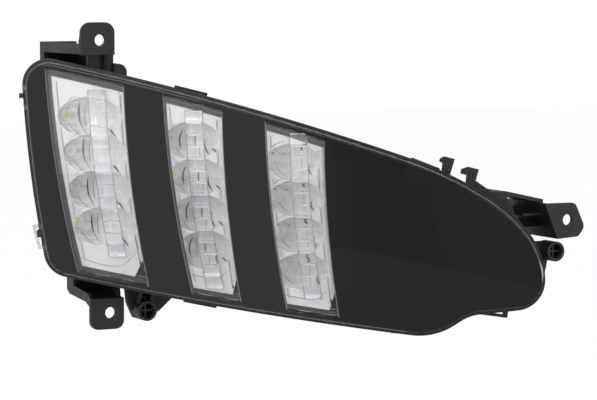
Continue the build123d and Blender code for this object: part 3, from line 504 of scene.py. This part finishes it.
PILLOW_PITCH, PILLOW_WIDTH, PILLOW_RISE = 6.69, 9.6, 1.0
PILLOW_SHARES = (0.645, 0.51, 0.566)
PILLOW_TOPS = (61.1, 49.8, 37.1)
PILLOW_ENDS = (-39.0, -51.0, -58.0)
PILLOW_GAP, BULGE_REACH = 0.02, 1.6
GROOVE_DEPTH, GROOVE_WIDTH = LENS_WALL + 0.2, 0.3
DOME_CENTRE = LENS_CENTRE - OUTWARD * DOME_RADIUS
PILLOW_STEPS, PILLOW_SMOOTH = 8, math.radians(40.0)
# Where the pillow strip of the CAD lens lies, which plain_pane makes even
CAD_SHARE, CAD_REACH = 0.46, 8.0
PANE_NEAR, DISSOLVE_NEAR = 0.02, 0.001
DOME_FACING = math.cos(math.radians(7.0))


def pillow_u(bar, v, share=None):
    """Middle of a window's pillow strip at that height."""
    left, right = (claw_u(edge, v) for edge in CLAWS[bar])
    share = PILLOW_SHARES[bar] if share is None else share
    return left * (1 - share) + right * share


def on_pane(place):
    """Whether a place lies on the inner sphere of the lens wall."""
    return abs((place / MM - DOME_CENTRE).length - DOME_RADIUS + LENS_WALL) < PANE_NEAR


def dome_normals(mesh):
    """Shades the two faces of the dome as true spheres and leaves every other face flat."""
    mesh.shade_smooth()
    normals = []
    for face in mesh.polygons:
        for vert in face.vertices:
            out = (mesh.vertices[vert].co - DOME_CENTRE * MM).normalized()
            facing = face.normal.dot(out)
            even = all(on_pane(mesh.vertices[other].co) for other in face.vertices)
            on_dome = even or abs(facing) > DOME_FACING
            normals.append(out * math.copysign(1.0, facing) if on_dome else face.normal)
    mesh.normals_split_custom_set(normals)


def plain_pane():
    """The clear moulding with the inside of its windows made even, ready for the pillow bars."""
    mesh, shape = joined_copy("lens_clear")
    for vert in shape.verts:
        place = vert.co / MM
        u, v = (place - LENS_CENTRE).dot(ACROSS), place.z - LENS_CENTRE.z
        out = place - DOME_CENTRE
        behind = DOME_RADIUS - out.length - LENS_WALL
        for bar in BARS:
            beside = abs(u - pillow_u(bar, v, CAD_SHARE)) < CAD_REACH
            if beside and 0.0 < behind < BULGE_REACH:
                vert.co = (DOME_CENTRE + out.normalized() * (DOME_RADIUS - LENS_WALL)) * MM
    bmesh.ops.dissolve_degenerate(shape, edges=shape.edges, dist=DISSOLVE_NEAR * MM)
    dome_normals(settled(shape, mesh))
    pane = piece_of("lens_clear_skin", mesh)
    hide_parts("lens_clear")


def groove_heights(bar):
    """Heights of the grooves of a pillow strip, from its top down."""
    count = int((PILLOW_TOPS[bar] - PILLOW_ENDS[bar]) / PILLOW_PITCH) + 1
    return [PILLOW_TOPS[bar] - k * PILLOW_PITCH for k in range(count)]


def groove_runs(bar):
    """The two sides of a pillow strip and the grooves across it."""
    half = PILLOW_WIDTH / 2
    heights = groove_heights(bar)
    runs = [[lens_point(pillow_u(bar, v) + side, v, GROOVE_DEPTH) for v in heights] for side in (-half, half)]
    for v in heights:
        runs.append([lens_point(pillow_u(bar, v) + side, v, GROOVE_DEPTH) for side in (-half, 0.0, half)])
    return runs


def pillow_bars(bar):
    """One closed rounded bar between each pair of grooves."""
    shape = bmesh.new()
    half, reach = PILLOW_WIDTH / 2 - GROOVE_WIDTH / 2, PILLOW_PITCH / 2 - GROOVE_WIDTH / 2
    back = LENS_WALL + PILLOW_GAP
    for top in groove_heights(bar)[:-1]:
        middle = top - PILLOW_PITCH / 2
        u = pillow_u(bar, middle)
        turns = [math.pi * k / PILLOW_STEPS for k in range(PILLOW_STEPS + 1)]
        section = [(reach * math.cos(turn), PILLOW_RISE * math.sin(turn)) for turn in turns]
        ends = [
            [shape.verts.new(lens_point(u + side, middle + rise, back + depth)) for rise, depth in section]
            for side in (-half, half)
        ]
        for k in range(len(section) - 1):
            shape.faces.new((ends[0][k], ends[0][k + 1], ends[1][k + 1], ends[1][k]))
        shape.faces.new((ends[0][0], ends[1][0], ends[1][-1], ends[0][-1]))
        for end in ends:
            shape.faces.new(end)
    bmesh.ops.recalc_face_normals(shape, faces=shape.faces)
    mesh = moulded(f"pillow_bars_{bar + 1}", shape, "lens_clear").data
    mesh.shade_smooth()
    mesh.set_sharp_from_angle(angle=PILLOW_SMOOTH)


plain_pane()
for bar in BARS:
    pillow_bars(bar)
    # grey lines in the grooves: painted shade of the groove walls
    line_piece(f"pillow_grooves_{bar + 1}", groove_runs(bar), "lens_clear", GROOVE_WIDTH, SHADE_GREY)


# Bowl marks: painted shade in dark and pale grey along the curved steps of the stepped bowls, as seen round
# each LED

# Half an LED, and the share of it that its yellow face takes up
LED_HALF, FACE_SHARE = 1.65, 0.73
DARK_WIDTH, DARK_TAPER = 0.7, 1.0
PALE_WIDTH, PALE_TAPER = 0.4, 0.8
MARK_STEPS, MARK_BREAK, MARK_LIFT = 12, 4.0, 0.1
# Rays start this far off, in metres
RAY_START = 0.2
SHORTEST_RUN = 3
# For each window: start, pull and end of each curve, across and up from the LED in millimetres
DARK_MARKS = (
    (((9.9, 8.4), (5.3, 2.0), (9.2, -6.8)), ((25.5, -8.4), (28.0, -10.4), (30.7, -14.1))),
    (
        ((7.4, 4.5), (3.4, -0.6), (6.2, -6.8)),
        ((14.7, 0.4), (14.1, -2.5), (14.7, -5.5)),
        ((20.5, -1.0), (18.8, -6.2), (23.2, -10.5)),
        ((23.8, -6.6), (26.0, -7.6), (27.2, -9.8)),
    ),
    (
        ((23.9, -3.0), (21.3, -6.3), (25.0, -10.3)),
        ((2.0, 3.4), (2.4, 3.2), (2.8, 2.6)),
        ((8.3, 3.1), (8.8, 2.9), (9.3, 2.3)),
        ((16.8, 5.0), (18.2, 4.8), (19.6, 4.0)),
    ),
)
PALE_MARKS = (
    (
        ((14.0, 8.7), (8.4, 1.7), (13.5, -10.1)),
        ((-0.5, -5.3), (1.5, -9.0), (4.8, -11.1)),
        ((1.4, -4.3), (4.0, -9.0), (9.7, -11.6)),
        ((1.2, 4.3), (3.0, 8.0), (7.7, 9.6)),
        ((8.5, -3.7), (10.0, -9.0), (15.0, -13.0)),
    ),
    (
        ((3.3, -5.6), (5.0, -9.0), (8.4, -11.6)),
        ((1.5, 4.4), (2.4, 6.2), (4.4, 7.4)),
        ((10.4, 5.4), (8.0, 0.0), (10.2, -7.6)),
        ((16.8, -4.7), (16.4, -8.0), (18.0, -11.8)),
    ),
    (
        ((1.0, 4.8), (4.0, 8.6), (9.4, 9.4)),
        ((4.0, -4.2), (6.4, -8.2), (11.0, -10.6)),
        ((19.4, -1.0), (17.6, -5.0), (20.0, -9.6)),
    ),
)
# Painted shade along the ledge below the last bowl of each window
LEDGE_MARKS = (
    (((2.2, -19.1), (12.0, -24.8), (26.0, -25.0)), ((26.0, -25.0), (31.0, -22.0), (34.5, -16.7))),
    (((3.9, -15.4), (12.0, -17.8), (20.6, -18.4)), ((20.6, -18.4), (26.0, -17.2), (29.0, -13.6))),
    (((3.9, -15.4), (12.0, -17.8), (20.6, -18.4)), ((20.6, -18.4), (26.0, -17.2), (29.0, -13.6))),
)


def led_centres(bar):
    """Middles of the LED faces of one row, from the row's box."""
    low, high = (Vector(corner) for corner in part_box(f"led_phosphors_{bar + 1}"))
    inset = Vector((LED_HALF, 0.0, LED_HALF)) * MM * FACE_SHARE
    first = Vector((low.x, low.y, high.z)) + Vector((inset.x, 0.0, -inset.z))
    last = Vector((high.x, low.y, low.z)) + Vector((-inset.x, 0.0, inset.z))
    return [first.lerp(last, k / (BOWL_COUNT - 1)) for k in range(BOWL_COUNT)]


def surface_of(node):
    """A node's surface, to set things on."""
    mesh = nodes[node].data
    places = [vert.co for vert in mesh.vertices]
    return BVHTree.FromPolygons(places, [face.vertices for face in mesh.polygons])


def mark_runs(bar, centres, curves):
    """Curves round the given LEDs, laid on the surface of the window's reflector."""
    surface = surface_of(f"reflector_{bar + 1}")
    runs = []
    for centre in centres:
        for start, pull, end in curves:
            run = []
            for k in range(MARK_STEPS + 1):
                t = k / MARK_STEPS
                across, rise = (
                    a * (1 - t) ** 2 + 2 * b * t * (1 - t) + c * t * t for a, b, c in zip(start, pull, end)
                )
                side = (RIGHT * across + ABOVE * rise) * MM
                hit = surface.ray_cast(centre + side + BACK * RAY_START, -BACK)[0]
                if hit is None:
                    continue
                place = hit + BACK * MARK_LIFT * MM
                if run and (place - run[-1]).length > MARK_BREAK * MM:
                    runs.append(run)
                    run = []
                run.append(place)
            runs.append(run)
    return [run for run in runs if len(run) >= SHORTEST_RUN]


for bar in BARS:
    centres = led_centres(bar)
    # dark lines are painted shade in the gaps of the steps, pale lines a lighter painted shade beside them
    dark = mark_runs(bar, centres, DARK_MARKS[bar])
    line_piece(f"bowl_steps_{bar + 1}", dark, "reflector_silver", DARK_WIDTH, STEP_SHADE, DARK_TAPER)
    pale = mark_runs(bar, centres, PALE_MARKS[bar]) + mark_runs(bar, centres[-1:], LEDGE_MARKS[bar])
    line_piece(f"bowl_edges_{bar + 1}", pale, "reflector_silver", PALE_WIDTH, SHADE_GREY, PALE_TAPER)


# LED collars: a white ring round each LED at the root of its bowl

COLLAR_PROFILE = [(2.15, 0.0), (3.25, 0.85), (3.25, 1.1), (2.15, 0.25), (2.15, 0.0)]
COLLAR_SIDES = 32
FACE_FORWARD = (math.radians(90.0), 0.0, 0.0)
collar = turned_mesh("led_collar", COLLAR_PROFILE, COLLAR_SIDES)
for bar in BARS:
    set_piece(f"led_collars_{bar + 1}", led_centres(bar), "led_body", collar, FACE_FORWARD)


# Window strips: a dark sheet in the bezel's grey along the outboard side of each window, painted shade
# standing in for the window's side wall in shade

STRIP_DEPTH, STRIP_WALL, STRIP_STEPS = 8.3, 0.6, 24
# For each window: where the strip starts and ends across from the edge, its top and its lower end
STRIPS = ((0.0, 3.0, 70.5, -46.0), (0.0, 1.6, 57.0, -56.0), (0.0, 1.0, 44.0, -64.0))


def window_shade_strip(bar):
    """A flat strip that follows the outboard edge of a window, just in front of the reflector."""
    start, end, top, low = STRIPS[bar]
    left = CLAWS[bar][0]
    shape = bmesh.new()
    rows = []
    for k in range(STRIP_STEPS + 1):
        v = top + (low - top) * k / STRIP_STEPS
        places = [plate_point(bar, claw_u(left, v) + side, v, STRIP_DEPTH) for side in (start, end)]
        rows.append([shape.verts.new(place) for place in places])
    for high, under in zip(rows, rows[1:]):
        shape.faces.new((high[0], under[0], under[1], high[1]))
    # painted shade: the dark strip stands for the window's shaded side wall
    strip = moulded(f"window_strip_{bar + 1}", shape, "bezel_grey")
    wall = strip.modifiers.new("wall", "SOLIDIFY")
    wall.thickness = STRIP_WALL * MM
    wall.offset = 0.0


for bar in BARS:
    window_shade_strip(bar)


# Slot floors: a pale floor in the fine slots beside the bowls, painted light that lifts the shade in the
# slots

SLOT_INSETS = ((5.2, 1.6), (3.0, 2.4), (2.6, 2.4))
SLOT_WIDTH, SLOT_FLOOR, SLOT_BESIDE = 0.8, 9.7, 1.0
SLOT_FLOOR_WIDTH = 0.9 * SLOT_WIDTH
SLOT_STEPS, SLOT_SPAN, PLATE_NEAR = 320, 80.0, 4.0


def slot_runs(bar):
    """Runs along the open slots of a plate, where plate lies on both sides of them."""
    surface = surface_of(f"reflector_{bar + 1}")
    runs = []
    for side, edge, inset in zip((1, -1), CLAWS[bar], SLOT_INSETS[bar]):
        run = []
        for k in range(SLOT_STEPS):
            v = SLOT_SPAN * (1 - 2 * k / SLOT_STEPS)
            middle = claw_u(edge, v) + side * (inset + SLOT_WIDTH / 2)
            steps = (-SLOT_BESIDE, 0.0, SLOT_BESIDE)
            places = [plate_point(bar, middle + step, v, SLOT_FLOOR) for step in steps]
            found = [
                surface.ray_cast(place + OUTWARD * PLATE_NEAR * MM, -OUTWARD, PLATE_NEAR * MM)[0] is not None
                for place in places
            ]
            if found == [True, False, True]:
                run.append(places[1])
            elif run:
                runs.append(run)
                run = []
        runs.append(run)
    return [run for run in runs if len(run) >= SHORTEST_RUN]


for bar in BARS:
    line_piece(f"slot_floors_{bar + 1}", slot_runs(bar), "reflector_silver", SLOT_FLOOR_WIDTH, SLOT_PALE)


# Catches: small blocks at the edge of the housing, beside the side loops and below the face

CATCHES = (
    ("loop_catch_upper", (-157.0, 56.3, 6.4), (-154.0, 59.0, 9.0)),
    ("loop_catch_lower", (-147.1, -22.4, 6.4), (-143.2, -17.9, 9.0)),
    ("edge_catch", (53.6, -77.4, 6.4), (56.8, -75.0, 9.0)),
)


def catch(name, low, high):
    """A small closed block between two corners given as across, up and depth."""
    shape = bmesh.new()
    corners = [
        lens_point(u, v, depth)
        for u in (low[0], high[0])
        for v in (low[1], high[1])
        for depth in (low[2], high[2])
    ]
    bmesh.ops.convex_hull(shape, input=[shape.verts.new(corner) for corner in corners])
    bmesh.ops.recalc_face_normals(shape, faces=shape.faces)
    moulded(name, shape, "housing_black")


for name, low, high in CATCHES:
    catch(name, low, high)


# Edge lines: painted highlights in pale grey along the clear moulding's edge round the black face and beside
# each window

EDGE_RAYS = 240
OUTLINE_INNER, OUTLINE_OUTER, OUTLINE_NEAR = 30.0, 220.0, 0.01
EDGE_WIDTH, EDGE_DEPTH, EDGE_STAND = 0.45, 4.6, 0.55
WINDOW_EDGE_WIDTH, WINDOW_EDGE_SINK = 0.4, 0.12
WINDOW_EDGE_STEPS, WINDOW_EDGE_SPAN, WINDOW_EDGE_TRIM = 160, 80.0, 2
FACE_NEAR = 1.0
# The line starts below the nose, runs over the top and ends on the lower edge; the clip takes its first rays
NOSE_RAY, EDGE_END = 13, 206
CLIP_RAYS, CLIP_WIDTH, CLIP_TAPER = 3, 1.5, 0.8


def lens_outline():
    """Places across and up the lens along its edge, found by rays at its face and windows."""
    skins = (surface_of("lens_black"), surface_of("lens_clear"))
    places = []
    for k in range(EDGE_RAYS):
        turn = 2 * math.pi * k / EDGE_RAYS
        inner, outer = OUTLINE_INNER, OUTLINE_OUTER
        while outer - inner > OUTLINE_NEAR:
            reach = (inner + outer) / 2
            u, v = reach * math.cos(turn), reach * math.sin(turn)
            start = lens_point(u, v, 0.0) + OUTWARD * FACE_NEAR * MM
            if any(skin.ray_cast(start, -OUTWARD, 2 * FACE_NEAR * MM)[0] for skin in skins):
                inner = reach
            else:
                outer = reach
        places.append(Vector((inner * math.cos(turn), inner * math.sin(turn))))
    return places


def edge_run(places, low, high):
    """A run just outside the lens edge from one ray to another, anticlockwise from the nose."""
    run = []
    for k in range(low, high + 1):
        along = (places[(k + 1) % EDGE_RAYS] - places[k - 1]).normalized()
        outside = places[k] + Vector((along.y, -along.x)) * EDGE_STAND
        run.append(lens_point(outside.x, outside.y, EDGE_DEPTH))
    return run


def window_edges(bar):
    """The two sides of a window at the face, as far as the face goes."""
    face = surface_of("lens_black")
    runs = []
    for side, edge in zip((-1, 1), CLAWS[bar]):
        run = []
        for k in range(WINDOW_EDGE_STEPS):
            v = WINDOW_EDGE_SPAN * (1 - 2 * k / WINDOW_EDGE_STEPS)
            u = claw_u(edge, v)
            start = lens_point(u + side * FACE_NEAR, v, 0.0) + OUTWARD * FACE_NEAR * MM
            if face.ray_cast(start, -OUTWARD, 2 * FACE_NEAR * MM)[0] is not None:
                run.append(lens_point(u, v, WINDOW_EDGE_SINK))
        runs.append(run[WINDOW_EDGE_TRIM:-WINDOW_EDGE_TRIM])
    return runs


outline = lens_outline()
edge = edge_run(outline, -NOSE_RAY, EDGE_END)
clip = edge_run(outline, -NOSE_RAY, CLIP_RAYS - NOSE_RAY)
# pale lines: painted highlights of the rounded edges
line_piece("lens_edge_line", [edge], "lens_clear", EDGE_WIDTH, EDGE_HIGHLIGHT)
line_piece("nose_clip", [clip], "lens_clear", CLIP_WIDTH, SLOT_PALE, CLIP_TAPER)
for bar in BARS:
    line_piece(f"window_edge_{bar + 1}", window_edges(bar), "lens_clear", WINDOW_EDGE_WIDTH, EDGE_HIGHLIGHT)


# Cover screws: pan heads with a six lobed drive recess

COVER_ACROSS, COVER_DOWN, COVER_BEHIND = 66.0, 34.0, 66.2
COVER_FACE = LENS_CENTRE + ACROSS * COVER_ACROSS - UP * COVER_DOWN - OUTWARD * COVER_BEHIND
COVER_SCREW_REACH = (29.5, 21.5)
SCREW_PROFILE = [(0.0, -9.9), (1.2, -9.9), (1.75, -9.0), (1.75, 0.0), (3.32, 0.0), (3.32, 1.4), (2.9, 1.95),
                 (2.2, 2.2), (1.55, 2.2), (1.45, 0.7), (0.0, 0.5)]
SCREW_SIDES = 48
FACE_BACK = tuple((-OUTWARD).to_track_quat("Z", "Y").to_euler())
screw = turned_mesh("cover_screw", SCREW_PROFILE, SCREW_SIDES, lobes=6, lobe_from=8, lobe_depth=0.14)
seats = [
    (COVER_FACE + ACROSS * COVER_SCREW_REACH[0] * x + UP * COVER_SCREW_REACH[1] * z) * MM
    for x in (-1, 1) for z in (-1, 1)
]
drive_screws = set_piece("cover_drive_screws", seats, "screw_zinc", screw, FACE_BACK)
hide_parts("cover_screws")


# Stage: camera, white surroundings, soft light, pale floor

FOCAL_LENGTH, SENSOR_WIDTH, SIGHT_END = 161.457, 36.0, 50.0
camera = bpy.data.objects.new("camera", bpy.data.cameras.new("camera"))
camera.data.lens = FOCAL_LENGTH
camera.data.sensor_width = SENSOR_WIDTH
camera.data.clip_end = SIGHT_END
camera.matrix_world = Matrix.Translation(AIM + BACK * DISTANCE) @ Matrix((
    (RIGHT.x, ABOVE.x, BACK.x),
    (RIGHT.y, ABOVE.y, BACK.y),
    (RIGHT.z, ABOVE.z, BACK.z),
)).to_4x4()
scene.collection.objects.link(camera)
scene.camera = camera

SOFT_LIGHT, INSIDE_LIFT = 0.7, 1.4
GLOSS_WINDOW, GLOSS_ROOM, GLOSS_SIDE, GLOSS_FLOOR = 0.78, 0.32, 0.38, 0.45
# Where the tones that gloss mirrors change, how that line tilts, and half the width of the change
FLOOR_EDGE, FLOOR_TILT, FLOOR_SOFT = -0.232, 0.187, 0.003
SIDE_EDGE, SIDE_TILT, SIDE_SOFT = -0.165, 0.29, 0.008
# The soft window that gloss mirrors fades out between these
SOFT_WINDOW = (-0.46, -0.26)
WHITE, SOFT_TINT, GLOSS_TINT = (1.0, 1.0, 1.0, 1.0), (0.97, 0.985, 1.0, 1.0), (0.97, 0.99, 1.0, 1.0)
# The floor below the part, and how white the camera sees it
FLOOR_HALF, FLOOR_DROP, FLOOR_WHITE = 4.0, 0.12, 0.93
FLOOR_FINISH = ((0.88, 0.88, 0.88), 0.8, GRAIN, 40.0, 0.0)
# Name, place, size and power
LAMPS = (
    ("key", (-1.2, -1.4, 1.3), 1.2, 14.0),
    ("fill", (1.5, -1.6, 0.5), 1.4, 7.0),
    ("top", (0.0, -0.3, 1.5), 1.4, 6.0),
)


def studio_world():
    """White to the camera and through glass, even soft light, and a broad soft window for gloss."""
    world = bpy.data.worlds.new("studio")
    world.use_nodes = True
    tree = world.node_tree
    tree.nodes.clear()
    add, link = tree.nodes.new, tree.links.new
    output, path = add("ShaderNodeOutputWorld"), add("ShaderNodeLightPath")
    white, soft, gloss = add("ShaderNodeBackground"), add("ShaderNodeBackground"), add("ShaderNodeBackground")
    shiny, seen = add("ShaderNodeMixShader"), add("ShaderNodeMixShader")
    white.inputs["Color"].default_value = WHITE
    soft.inputs["Color"].default_value = SOFT_TINT
    soft.inputs["Strength"].default_value = SOFT_LIGHT
    gloss.inputs["Color"].default_value = GLOSS_TINT
    way = add("ShaderNodeSeparateXYZ")
    link(add("ShaderNodeTexCoord").outputs["Generated"], way.inputs["Vector"])
    sideways = math_node(tree, "DIVIDE", way.outputs["X"], math_node(tree, "ABSOLUTE", way.outputs["Y"]))
    rise = way.outputs["Z"]
    beside = math_node(tree, "ADD", sideways, math_node(tree, "MULTIPLY", rise, SIDE_TILT))
    above = math_node(tree, "ADD", rise, math_node(tree, "MULTIPLY", sideways, FLOOR_TILT))
    room = ramp_node(tree, beside, SIDE_EDGE - SIDE_SOFT, SIDE_EDGE + SIDE_SOFT, GLOSS_ROOM, GLOSS_SIDE)
    low = ramp_node(tree, above, FLOOR_EDGE - FLOOR_SOFT, FLOOR_EDGE + FLOOR_SOFT, GLOSS_FLOOR, room)
    mirrored = ramp_node(tree, sideways, *SOFT_WINDOW, GLOSS_WINDOW, low)
    link(mirrored, gloss.inputs["Strength"])
    link(path.outputs["Is Glossy Ray"], shiny.inputs["Fac"])
    link(soft.outputs["Background"], shiny.inputs[1])
    link(gloss.outputs["Background"], shiny.inputs[2])
    within = math_node(tree, "MULTIPLY", path.outputs["Is Transmission Ray"], INSIDE_LIFT)
    link(math_node(tree, "ADD", within, 1.0), white.inputs["Strength"])
    through = math_node(tree, "MAXIMUM", path.outputs["Is Camera Ray"], path.outputs["Is Transmission Ray"])
    link(through, seen.inputs["Fac"])
    link(shiny.outputs["Shader"], seen.inputs[1])
    link(white.outputs["Background"], seen.inputs[2])
    link(seen.outputs["Shader"], output.inputs["Surface"])
    return world


def pale_floor():
    """A wide pale floor below the part; the camera sees it as white with a faint shadow."""
    mesh = bpy.data.meshes.new("floor")
    half, level = FLOOR_HALF, cad_box[0][2] - FLOOR_DROP
    square = ((-half, -half), (half, -half), (half, half), (-half, half))
    mesh.from_pydata([(x + AIM.x, y + AIM.y, level) for x, y in square], [], [(0, 1, 2, 3)])
    floor = bpy.data.objects.new("floor", mesh)
    scene.collection.objects.link(floor)
    made = finish("floor_pale", *FLOOR_FINISH)
    tree = made.node_tree
    path, glow, mix = (tree.nodes.new("ShaderNode" + kind) for kind in ("LightPath", "Emission", "MixShader"))
    tree.links.new(math_node(tree, "MULTIPLY", path.outputs["Is Camera Ray"], FLOOR_WHITE), mix.inputs["Fac"])
    tree.links.new(tree.nodes["Principled BSDF"].outputs["BSDF"], mix.inputs[1])
    tree.links.new(glow.outputs["Emission"], mix.inputs[2])
    glow.inputs["Strength"].default_value = 1.0
    tree.links.new(mix.outputs["Shader"], tree.nodes["Material Output"].inputs["Surface"])
    mesh.materials.append(made)
    floor.visible_glossy = False


def lamp(name, place, size, power):
    """A soft square lamp that faces the part."""
    data = bpy.data.lights.new(name, "AREA")
    data.shape = "SQUARE"
    data.size = size
    data.energy = power
    made = bpy.data.objects.new(name, data)
    made.location = place
    made.rotation_euler = (AIM - Vector(place)).to_track_quat("-Z", "Y").to_euler()
    scene.collection.objects.link(made)


scene.world = studio_world()
pale_floor()
for row in LAMPS:
    lamp(*row)

scene.view_settings.view_transform = "Standard"
